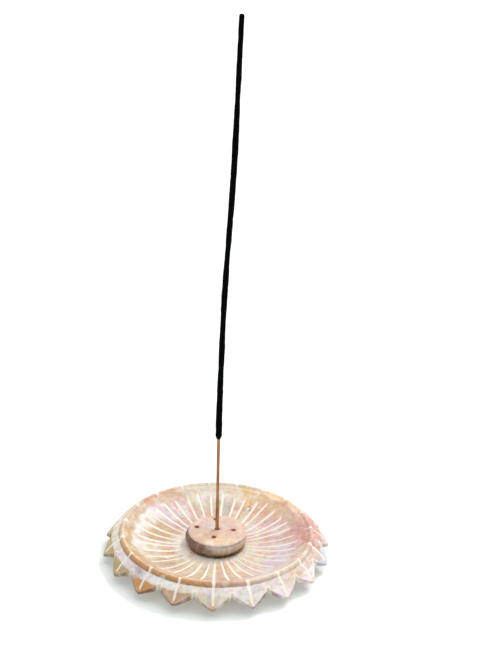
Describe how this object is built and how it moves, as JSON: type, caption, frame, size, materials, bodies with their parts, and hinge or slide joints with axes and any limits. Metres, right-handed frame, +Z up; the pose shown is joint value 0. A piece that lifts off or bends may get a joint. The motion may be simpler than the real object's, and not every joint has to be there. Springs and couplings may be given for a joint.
{
  "type": "incense burner",
  "caption": "Round soapstone dish with a petalled rim and a drilled centre disc that holds an upright incense stick over an ash bowl.",
  "frame": {"origin": "on the table under the dish's centre", "axes": "+Z up along the dish's axis, -Y towards the front"},
  "size_m": [0.0994, 0.0998, 0.2367],
  "materials": {
    "dish_stone": "waxed, hand carved",
    "disc_stone": "waxed, turned and drilled",
    "bamboo": "bare split bamboo",
    "charcoal": "matte hand-rolled charcoal paste"
  },
  "bodies": {
    "burner": {"stone_dish": "dish_stone", "drilled_disc": "disc_stone"},
    "incense_stick": {"bamboo_core": "bamboo", "charcoal_coating": "charcoal"}
  },
  "joints": [
    {"name": "stick_lift", "type": "slide", "parent": "burner", "child": "incense_stick", "axis": [-0.0065, 0, 1], "range_m": [0, 0.03]}
  ]
}
